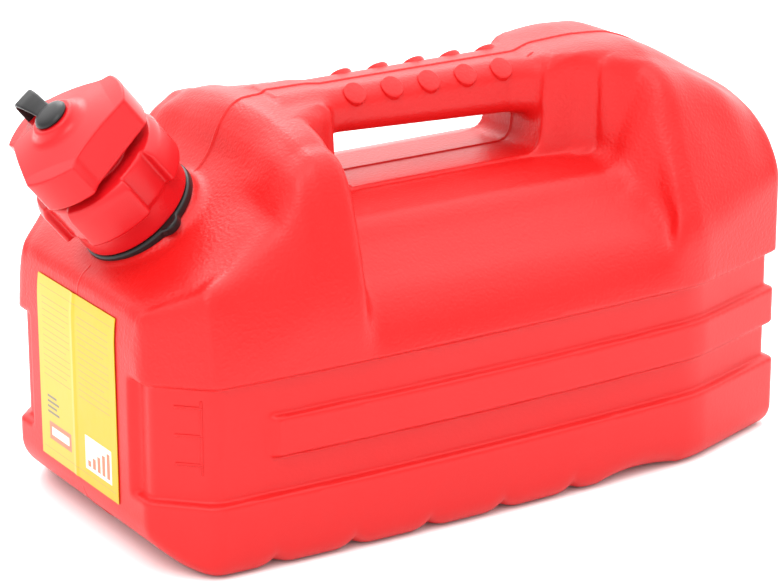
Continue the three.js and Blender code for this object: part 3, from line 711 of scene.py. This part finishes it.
def cap_distance(x, y, s):
    """The closing cap: a shallow cone over flats, shoulders and lobes, with a boss, a bore and its thread."""
    radius = np.hypot(x, y)
    side = radius - CAP_RADIUS
    height = cap_top(radius)
    for k in range(CAP_SIDES):
        turn = k * FULL_TURN / CAP_SIDES
        flat = reach_along(x, y, FLAT_TURN + turn) - FLAT_REACH
        shoulder = reach_along(x, y, SHOULDER_TURN + turn) - SHOULDER_REACH
        side = smooth_max(side, smooth_min(flat, shoulder, SHOULDER_EDGE), CAP_CORNER_EDGE)
        out = reach_along(x, y, LOBE_TURN + turn) - CREASE_REACH
        across = reach_along(x, y, LOBE_TURN + turn + math.pi / 2)
        facet = cap_top(np.hypot(CREASE_REACH, across)) - out * FACET_SLOPE
        height = np.where(out > 0, facet, height)
    over = (s - height) / math.hypot(1, CAP_SLOPE)
    shape = smooth_max(smooth_max(side, over, CAP_TOP_EDGE), CAP_BOTTOM - s, CAP_BOTTOM_EDGE)
    boss = smooth_max(radius - CAP_BOSS_RADIUS, s - CAP_BOSS_TOP, CAP_BOSS_EDGE)
    shape = smooth_min(shape, np.maximum(boss, CAP_CEILING - s), CAP_BOSS_FOOT)
    inner = {**CAP_THREAD, "start": CAP_THREAD["start"] + CAP_THREAD["pitch"] / 2}
    bore = UPSTAND_RADIUS + THREAD_HEIGHT + THREAD_CLEAR - THREAD_HEIGHT * thread_at(x, y, s, **inner)
    hollow = np.minimum(np.maximum(radius - bore, s - CAP_CEILING), radius - VENT_BORE)
    return np.maximum(shape, -hollow)


def turned(profile, steps, closed):
    """The points and faces of a surface of revolution, from a profile of radius and height."""
    rings = [(radius, height) for radius, height in profile if radius > 0]
    points = []
    for radius, height in rings:
        for i in range(steps):
            angle = FULL_TURN * i / steps
            points.append((radius * math.cos(angle), radius * math.sin(angle), height))
    faces = []
    spans = len(rings) if closed else len(rings) - 1
    for row in range(spans):
        after = (row + 1) % len(rings)
        for i in range(steps):
            j = (i + 1) % steps
            faces.append((row * steps + i, row * steps + j, after * steps + j, after * steps + i))
    if not closed:
        faces.append(tuple(reversed(range(steps))))
        faces.append(tuple(range((len(rings) - 1) * steps, len(rings) * steps)))
    return np.array(points), faces


def turned_object(name, profile, material, closed):
    """A surface of revolution round the neck's axis."""
    points, faces = turned(profile, TURNED_STEPS, closed)
    made = mesh_object(name, on_neck(points), faces, material)
    made.data.set_sharp_from_angle(angle=TURNED_CREASE)
    return made


# Materials: how much gloss faces the eye, how the clouds change the gloss, and the grain's strength. The
# shell's grain has cells, and turns from faint to strong at a height in metres, at the recess's top.
FACING_GLOSS = 0.31
CLOUD_SPAN_SHARES = (0.3, 0.7)
GLOSS_CHANGE = 0.04
GRAIN_STRENGTH = 0.6
SHELL_GRAIN = {"mottle": 0.05, "cloud_scale": 14, "grain_scale": 900, "grain_depth": 0.00025}
CELL_SCALE = 700
CELL_SHARE = 0.7
GRAIN_TURNS_AT = (0.076, 0.081)
SHELL_STRENGTHS = (0.18, 0.6)
RUBBER_GRAIN = {"mottle": 0.3, "grain_scale": 2200, "grain_depth": 0.00006}
FILM_GRAIN = {"mottle": 0.03, "cloud_scale": 90, "grain_scale": 300, "grain_depth": 0.00008}


def principled(name, colour, roughness):
    """A material with its tree and its shader."""
    material = bpy.data.materials.new(name)
    material.use_nodes = True
    shader = material.node_tree.nodes["Principled BSDF"]
    shader.inputs["Base Color"].default_value = (*colour, 1)
    shader.inputs["Roughness"].default_value = roughness
    shader.inputs["Specular IOR Level"].default_value = FACING_GLOSS
    return material, material.node_tree, shader


def node(tree, kind, inputs=(), **settings):
    """A node with its settings, whose inputs are values or the sockets that feed them."""
    made = tree.nodes.new(kind)
    for key, value in settings.items():
        setattr(made, key, value)
    for key, value in dict(inputs).items():
        if isinstance(value, bpy.types.NodeSocket):
            tree.links.new(value, made.inputs[key])
        else:
            made.inputs[key].default_value = value
    return made


def noise(tree, place, scale, detail):
    """The strength of a noise at a place."""
    return node(tree, "ShaderNodeTexNoise", {"Vector": place, "Scale": scale, "Detail": detail}).outputs["Fac"]


def maths(tree, operation, *values):
    """The result of a sum on values or sockets."""
    return node(tree, "ShaderNodeMath", enumerate(values), operation=operation).outputs[0]


def finished(name, colour, roughness, mottle, cloud_scale, grain_scale, grain_depth):
    """A moulded finish: clouds in its colour and gloss, and a fine grain."""
    material, tree, shader = principled(name, colour, roughness)
    place = node(tree, "ShaderNodeTexCoord").outputs["Object"]
    cloud = noise(tree, place, cloud_scale, 4)
    dark = (*(part * (1 - mottle) for part in colour), 1)
    light = (*(min(part * (1 + mottle), 1) for part in colour), 1)
    shade = node(tree, "ShaderNodeMix", {0: cloud, 6: dark, 7: light}, data_type="RGBA").outputs[2]
    tree.links.new(shade, shader.inputs["Base Color"])
    gloss = node(tree, "ShaderNodeMapRange", {
        "Value": cloud, "From Min": CLOUD_SPAN_SHARES[0], "From Max": CLOUD_SPAN_SHARES[1],
        "To Min": roughness - GLOSS_CHANGE, "To Max": roughness + GLOSS_CHANGE})
    tree.links.new(gloss.outputs["Result"], shader.inputs["Roughness"])
    grain = noise(tree, place, grain_scale, 3)
    settings = {"Height": grain, "Distance": grain_depth, "Strength": GRAIN_STRENGTH}
    bump = node(tree, "ShaderNodeBump", settings)
    tree.links.new(bump.outputs["Normal"], shader.inputs["Normal"])
    return material, tree, bump, grain, place


def red_shell():
    """Blow-moulded polyethylene: a leathery grain, strong on the upper form and faint on the smooth sides."""
    colour = (0.52, 0.005, 0.005)
    material, tree, bump, grain, place = finished("red_polyethylene", colour, 0.4, **SHELL_GRAIN)
    cells = node(tree, "ShaderNodeTexVoronoi", {"Vector": place, "Scale": CELL_SCALE}, feature="SMOOTH_F1")
    both = maths(tree, "ADD", grain, maths(tree, "MULTIPLY", cells.outputs["Distance"], CELL_SHARE))
    height = node(tree, "ShaderNodeSeparateXYZ", {"Vector": place}).outputs["Z"]
    above = node(tree, "ShaderNodeMapRange", {
        "Value": height, "From Min": GRAIN_TURNS_AT[0], "From Max": GRAIN_TURNS_AT[1],
        "To Min": SHELL_STRENGTHS[0], "To Max": SHELL_STRENGTHS[1]}).outputs["Result"]
    tree.links.new(both, bump.inputs["Height"])
    tree.links.new(above, bump.inputs["Strength"])
    return material


def plain(name, colour, roughness, mottle=0.05, cloud_scale=60, grain_scale=1400, grain_depth=0.00004):
    """A material with the common finish, and only as much of it as is asked for."""
    return finished(name, colour, roughness, mottle, cloud_scale, grain_scale, grain_depth)[0]


SHELL = red_shell()
CLOSURE = plain("red_closure", (0.5, 0.005, 0.008), 0.3, cloud_scale=40)
RUBBER = plain("black_rubber", (0.008, 0.0075, 0.008), 0.34, **RUBBER_GRAIN)
BLACK_PLASTIC = plain("black_plastic", (0.02, 0.02, 0.022), 0.4, mottle=0.2)
FILM = plain("yellow_film", (0.53, 0.34, 0.002), 0.36, **FILM_GRAIN)
FILM_PALE = plain("pale_film", (0.54, 0.37, 0.035), 0.36, **FILM_GRAIN)
INK_RULE = plain("rule_ink", (0.33, 0.25, 0.05), 0.34, mottle=0.12, cloud_scale=600)
INK_GREY = plain("grey_ink", (0.16, 0.15, 0.1), 0.34, mottle=0.15, cloud_scale=600)
INK_WHITE = plain("white_ink", (0.75, 0.72, 0.6), 0.34, mottle=0.05, cloud_scale=600)
INK_SALMON = plain("salmon_ink", (0.85, 0.15, 0.08), 0.34, mottle=0.12, cloud_scale=600)


def can():
    """The can, whose ends are held to its length."""
    margin = MARGIN_STEPS * CAN_STEP
    low = (-HALF_LENGTH - margin, -HALF_WIDTH - SIDE_BOW - margin, -margin)
    high = (HALF_LENGTH + margin, HALF_WIDTH + SIDE_BOW + margin, HEIGHT + margin)
    points, faces = surface_nets(body_distance, low, high, CAN_STEP)
    points = settled(body_distance, points)
    points[:, 0] = np.clip(points[:, 0], -HALF_LENGTH, HALF_LENGTH)
    body = mesh_object("can", points, faces, SHELL)
    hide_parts("can_body")
    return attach(body, "root")


def closure(name, distance, reach, bottom, top, material, slot, body):
    """A piece of the closure, cut from its field in the neck's frame."""
    margin = MARGIN_STEPS * CLOSURE_STEP
    low = (-reach - margin, -reach - margin, bottom - margin)
    high = (reach + margin, reach + margin, top + margin)
    points, faces = surface_nets(distance, low, high, CLOSURE_STEP)
    piece = mesh_object(name, on_neck(settled(distance, points, limit=CLOSURE_SETTLE)), faces, material)
    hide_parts(slot[0])
    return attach(piece, body)


def dressed(piece, replaced, body):
    """A piece that replaces a node and the body that it rides on."""
    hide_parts(replaced)
    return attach(piece, body)


def strap():
    """The strap, a rounded band bent over from the plug to the cap's lobe behind it."""
    path = np.array(STRAP_PATH, float)
    lengths = np.concatenate([[0], np.cumsum(np.hypot(*np.diff(path, axis=0).T))])
    along = np.linspace(0, lengths[-1], STRAP_STEPS)
    y = curve_through(lengths, path[:, 0])(along)
    s = curve_through(lengths, path[:, 1])(along)
    slope = np.stack([np.gradient(y), np.gradient(s)], 1)
    slope /= np.hypot(*slope.T)[:, None]
    sides = STRAP_SIDES
    angles = FULL_TURN * np.arange(sides) / sides
    narrow, wide = STRAP_WIDTHS
    points = []
    for i in range(STRAP_STEPS):
        half = (narrow + (wide - narrow) * eased(0, STRAP_WIDENED_SHARE * lengths[-1], along[i])) / 2
        for angle in angles:
            across = half * np.sign(math.cos(angle)) * abs(math.cos(angle)) ** STRAP_SIDE_POWER
            off = STRAP_THICK / 2 * np.sign(math.sin(angle)) * abs(math.sin(angle)) ** STRAP_FACE_POWER
            points.append((across, y[i] - slope[i, 1] * off, s[i] + slope[i, 0] * off))
    faces = []
    for row in range(STRAP_STEPS - 1):
        for i in range(sides):
            j = (i + 1) % sides
            faces.append((row * sides + i, row * sides + j, (row + 1) * sides + j, (row + 1) * sides + i))
    faces.append(tuple(reversed(range(sides))))
    faces.append(tuple(range((STRAP_STEPS - 1) * sides, STRAP_STEPS * sides)))
    made = mesh_object("plug_strap_band", on_neck(points), faces, RUBBER)
    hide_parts("plug_strap")
    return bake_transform(made)


def rays_to_form(centre, last):
    """Points in the parting plane where rays from a centre cross the can's form: the last, or the first."""
    angles = FULL_TURN * np.arange(SEAM_STEPS) / SEAM_STEPS
    reaches = np.arange(0, RAY_LENGTH, RAY_STEP)
    x = centre[0] + np.cos(angles)[:, None] * reaches
    z = centre[1] + np.sin(angles)[:, None] * reaches
    value = form_distance(x, 0 * x, z)
    out = (value[:, :-1] < 0) & (value[:, 1:] >= 0)
    into = (value[:, :-1] >= 0) & (value[:, 1:] < 0)
    if last:
        at = out.shape[1] - 1 - np.argmax(out[:, ::-1], axis=1)
    else:
        at = np.argmax(into, axis=1)
    row = np.arange(SEAM_STEPS)
    before, after = value[row, at], value[row, at + 1]
    reach = reaches[at] + RAY_STEP * before / (before - after)
    return np.stack([centre[0] + np.cos(angles) * reach, 0 * angles, centre[1] + np.sin(angles) * reach], 1)


def seam(name, centre, last):
    """A thin raised parting line round the can or the hand hole, which dives under the skin at the ends."""
    path = rays_to_form(centre, last)
    normal = slope_of(form_distance, path, SEAM_SLOPE_REACH)
    normal[:, 1] = 0
    normal /= np.hypot(normal[:, 0], normal[:, 2])[:, None]
    share = eased(-HALF_LENGTH, CORNER_END, path[:, 0])
    prouds = SEAM_PROUD_AT_END + (SEAM_PROUD - SEAM_PROUD_AT_END) * share
    points = []
    for place, out, proud in zip(path, normal, prouds):
        for side, share in SEAM_SECTION:
            points.append(place + out * proud * share + np.array([0, side * SEAM_HALF_WIDTH, 0]))
    reach = HALF_LENGTH - SEAM_HIDDEN
    points = np.clip(points, (-reach, -HALF_WIDTH, SEAM_HIDDEN), (reach, HALF_WIDTH, 2 * HEIGHT))
    rows, sides = len(path), len(SEAM_SECTION)
    faces = []
    for row in range(rows):
        after = (row + 1) % rows
        for i in range(sides):
            j = (i + 1) % sides
            faces.append((row * sides + i, row * sides + j, after * sides + j, after * sides + i))
    made = mesh_object(name, points, faces, SHELL)
    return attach(made, "root")


def grip_studs():
    """Round flat studs on both upper edges of the handle bar, the far ones set between the near ones."""
    rim = [(STUD_RADIUS - inset, STUD_PROUD - drop) for inset, drop in STUD_RIM]
    profile = [(STUD_RADIUS + STUD_FLARE, -STUD_DEPTH), *rim, (STUD_MIDDLE, STUD_PROUD + STUD_CROWN)]
    button, button_faces = turned(profile, STUD_SIDES, False)
    points, faces = [], []
    for side, start, count in ((-1, STUD_START, STUD_COUNT), (1, STUD_START + STUD_STAGGER, STUD_COUNT - 1)):
        tilt = np.array(Matrix.Rotation(-side * math.pi / 4, 3, "X"))
        middle = BAR_WIDTH / 2 - BAR_EDGE + BAR_EDGE * math.sqrt(0.5)
        height = BAR_TOP - BAR_EDGE + BAR_EDGE * math.sqrt(0.5)
        for i in range(count):
            place = np.array([start + i * STUD_PITCH, side * middle, height])
            base = len(points) * len(button)
            points.append(button @ tilt.T + place)
            faces += [tuple(base + corner for corner in face) for face in button_faces]
    made = mesh_object("grip_studs", np.concatenate(points), faces, SHELL)
    made.data.set_sharp_from_angle(angle=STUD_CREASE)
    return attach(made, "root")


def raised_rib(name, start, end, half_width, proud, out):
    """A straight raised rib with rounded ends on a flat face that looks along a direction."""
    start, end, out = Vector(start), Vector(end), Vector(out).normalized()
    along = (end - start).normalized()
    side = out.cross(along)
    outline = []
    for i in range(RIB_STEPS + 1):
        angle = math.pi * i / RIB_STEPS
        outline.append(end + (side * math.cos(angle) + along * math.sin(angle)) * half_width)
    for i in range(RIB_STEPS + 1):
        angle = math.pi * (1 + i / RIB_STEPS)
        outline.append(start + (side * math.cos(angle) + along * math.sin(angle)) * half_width)
    middle = [start + (point - start).project(along) for point in outline]
    count = len(outline)
    points = [point - out for point in outline]
    points += [point + out * proud * RIB_SIDE_SHARE for point in outline]
    points += [inner.lerp(point, RIB_TOP_SHARE) + out * proud for inner, point in zip(middle, outline)]
    faces = [tuple(reversed(range(count)))]
    for row in range(2):
        for i in range(count):
            j = (i + 1) % count
            faces.append((row * count + i, row * count + j, (row + 1) * count + j, (row + 1) * count + i))
    faces.append(tuple(range(2 * count, 3 * count)))
    made = mesh_object(name, points, faces, SHELL)
    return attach(made, "root")


def corner_marks():
    """The raised level marks in the recess on the near cut corner."""
    out = Vector((-1, -1, 0)).normalized()
    along = Vector((1, -1, 0)).normalized()
    middle = Vector((-HALF_LENGTH + CORNER_CUT / 2, -HALF_WIDTH + CORNER_CUT / 2, 0)) - out * RECESS_DEPTH

    def at(place, height):
        return middle + along * place + Vector((0, 0, height))

    near, far = MARK_SPAN
    for i, height in enumerate(MARK_HEIGHTS):
        raised_rib(f"level_mark_{i + 1}", at(near, height), at(far, height), MARK_HALF_WIDTH, MARK_PROUD, out)
    low, high = MARK_UPRIGHT
    raised_rib("level_mark_upright", at(far, low), at(far, high), MARK_HALF_WIDTH, MARK_UPRIGHT_PROUD, out)


def label_motifs(width, height):
    """The label's design: each ink with the sides, foot and top of its field. The later ones lie on top."""
    motifs = [
        (FILM_PALE, 0, FOLD, 0, height),
        (INK_WHITE, *CHART_BLOCK),
        (INK_SALMON, *FRAME_BLOCK),
        (INK_WHITE, *FRAME_INSIDE),
    ]
    for i in range(RULE_COUNT):
        foot = RULE_TOP - RULE_PITCH * i
        for left, right, lack, every in RULE_COLUMNS:
            short = lack if i % every == every - 1 else 0
            motifs.append((INK_RULE, left, right - short, foot, foot + RULE_THICK))
    for i in range(GROWING_COUNT):
        left = GROWING_START + GROWING_PITCH * i
        motifs.append((INK_SALMON, left, left + GROWING_WIDTH, GROWING_FOOT, GROWING_TOP + GROWING_RISE * i))
    for i in range(GREY_COUNT):
        foot = GREY_FOOT + GREY_PITCH * i
        motifs.append((INK_GREY, GREY_SPAN[0], GREY_SPAN[1] - GREY_SHORT * (i % 2), foot, foot + GREY_THICK))
    for foot in (height - BORDER_DROP - BORDER_THICK, BORDER_RISE):
        motifs.append((INK_RULE, BORDER_INSET, width - BORDER_INSET, foot, foot + BORDER_THICK))
    return motifs


def label():
    """The film label: two tones of yellow and its design, with a fold, lying on the can's end face."""
    low, high = (Vector(corner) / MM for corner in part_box("label"))
    width, height = high.y - low.y, high.z - low.z
    motifs = label_motifs(width, height)
    inks = [FILM, FILM_PALE, INK_WHITE, INK_SALMON, INK_RULE, INK_GREY]
    bend = np.linspace(FOLD - FOLD_HALF_SPAN, FOLD + FOLD_HALF_SPAN, FOLD_POINTS)
    across = sorted({0, width, *bend, *(m[1] for m in motifs), *(m[2] for m in motifs)})
    upward = sorted({0, height, *(m[3] for m in motifs), *(m[4] for m in motifs)})
    points = []
    for face in (low.x, high.x):
        for v in upward:
            for u in across:
                crease = FOLD_DEPTH * math.exp(-((u - FOLD) / FOLD_WIDTH) ** 2)
                points.append((face - crease, high.y - u, low.z + v))
    columns, rows = len(across), len(upward)
    under = columns * rows
    faces, which = [], []
    for i in range(rows - 1):
        for j in range(columns - 1):
            a = i * columns + j
            b, c, d = a + 1, a + columns + 1, a + columns
            u, v = (across[j] + across[j + 1]) / 2, (upward[i] + upward[i + 1]) / 2
            ink = [m[0] for m in motifs if m[1] < u < m[2] and m[3] < v < m[4]]
            faces += [(a, b, c, d), (under + d, under + c, under + b, under + a)]
            which += [inks.index(ink[-1]) if ink else 0, 0]
    edge = list(range(columns)) + [i * columns + columns - 1 for i in range(1, rows)]
    edge += [(rows - 1) * columns + j for j in reversed(range(columns - 1))]
    edge += [i * columns for i in reversed(range(1, rows - 1))]
    for a, b in zip(edge, edge[1:] + edge[:1]):
        faces.append((b, a, under + a, under + b))
        which.append(0)
    points = np.array(points)
    gap = block_distance(np.full(len(points), -HALF_LENGTH), np.abs(points[:, 1]), points[:, 2])
    points[:, 0] += np.maximum(gap, 0)
    made = mesh_object("label_sheet", points, faces, FILM, smooth=False)
    for ink in inks[1:]:
        made.data.materials.append(ink)
    made.data.polygons.foreach_set("material_index", which)
    return dressed(made, "label", "root")


can()
seam("parting_line", BODY_MIDDLE, True)
seam("parting_line_in_hole", HOLE_MIDDLE, False)
grip_studs()
corner_marks()
label()
closure("gasket", gasket_distance, TAB_CENTRE + TAB_REACH, GASKET_LOW, GASKET_HIGH, RUBBER,
        ("neck_gasket", "black_rubber"), "root")
closure("collar", collar_distance, GRIP_RADIUS, COLLAR_BOTTOM, UPSTAND_TOP, CLOSURE,
        ("collar_nut", "closure_plastic"), "collar")
closure("cap", cap_distance, CAP_RADIUS, CAP_BOTTOM, CAP_BOSS_TOP, CLOSURE,
        ("closing_cap", "closure_plastic"), "cap")
spout = turned_object("spout", SPOUT_PROFILE, BLACK_PLASTIC, True)
dressed(spout, "pour_spout", "spout_lift")
seal = turned_object("seal", SEAL_PROFILE, RUBBER, True)
dressed(seal, "cap_seal", "seal_lift")
plug = turned_object("plug", PLUG_PROFILE, RUBBER, False)
dressed(plug, "vent_plug", "plug")
strap()


# The stage: a pale floor, soft lights and the camera
LEFT_SIDE = Vector((-0.5, -0.3, 0.81))
LEFT_GLOW = 1.5
BACK_SIDE = Vector((0.55, 0.45, 0.7))
BACK_GLOW = 2.2
DIM = 0.25
LEFT_START = -0.3
BACK_START = 0
FLOOR_REACH = 6000
LIGHT_SIZE = 0.8
LIGHT_TARGET = Vector((0, 0, 80))


def stage():
    """The pale floor."""
    size = FLOOR_REACH
    floor = mesh_object("floor", [(-size, -size, 0), (size, -size, 0), (size, size, 0), (-size, size, 0)],
                        [(0, 1, 2, 3)], plain("floor_paint", (0.9, 0.9, 0.9), 0.8, mottle=0.01), smooth=False)


def studio():
    """A soft white tent, brightest at the upper left and behind."""
    world = bpy.data.worlds.new("studio")
    world.use_nodes = True
    tree = world.node_tree
    direction = node(tree, "ShaderNodeTexCoord").outputs["Generated"]
    strength = DIM
    for side, glow, start in ((LEFT_SIDE, LEFT_GLOW, LEFT_START), (BACK_SIDE, BACK_GLOW, BACK_START)):
        towards = node(tree, "ShaderNodeVectorMath", {0: direction, 1: side}, operation="DOT_PRODUCT")
        lobe = node(tree, "ShaderNodeMapRange", {
            "Value": towards.outputs["Value"], "From Min": start, "From Max": 1, "To Min": 0, "To Max": glow},
            interpolation_type="SMOOTHSTEP")
        strength = maths(tree, "ADD", strength, lobe.outputs["Result"])
    background = tree.nodes["Background"]
    background.inputs["Color"].default_value = (1, 1, 1, 1)
    tree.links.new(strength, background.inputs["Strength"])
    bpy.context.scene.world = world


def area_light(name, place, power):
    """A square lamp that looks at the object's middle."""
    data = bpy.data.lights.new(name, "AREA")
    data.size = LIGHT_SIZE
    data.energy = power
    lamp = bpy.data.objects.new(name, data)
    lamp.location = Vector(place) * MM
    lamp.rotation_mode = "QUATERNION"
    lamp.rotation_quaternion = (LIGHT_TARGET * MM - lamp.location).to_track_quat("-Z", "Y")
    bpy.context.scene.collection.objects.link(lamp)


# The camera, found from the photograph: its angles, its place along its own right, up and forward, its lens
CAMERA_HEADING = math.radians(-32.05)
CAMERA_PITCH = math.radians(19.245)
CAMERA_ROLL = math.radians(0.13)
CAMERA_OFFSET = (-6.2, 66.9, -1335.8)
LENS = 147.7
SENSOR = 36


def camera():
    """The camera at the photograph's viewing angle."""
    right = Vector((math.cos(CAMERA_HEADING), math.sin(CAMERA_HEADING), 0))
    level = Vector((-math.sin(CAMERA_HEADING), math.cos(CAMERA_HEADING), 0))
    forward = level * math.cos(CAMERA_PITCH) - Vector((0, 0, math.sin(CAMERA_PITCH)))
    up = level * math.sin(CAMERA_PITCH) + Vector((0, 0, math.cos(CAMERA_PITCH)))
    data = bpy.data.cameras.new("camera")
    data.sensor_width = SENSOR
    data.lens = LENS
    data.clip_start = 0.05
    data.clip_end = 50
    made = bpy.data.objects.new("camera", data)
    turn = Matrix((right, up, -forward)).transposed() @ Matrix.Rotation(-CAMERA_ROLL, 3, "Z")
    made.rotation_mode = "QUATERNION"
    made.rotation_quaternion = turn.to_quaternion()
    x, y, z = CAMERA_OFFSET
    made.location = (right * x + up * y + forward * z) * MM
    bpy.context.scene.collection.objects.link(made)
    bpy.context.scene.camera = made


stage()
studio()
area_light("key", (-900, -700, 1500), 9)
area_light("rim", (300, 1200, 1300), 8)
camera()
bpy.context.scene.view_settings.view_transform = "Standard"
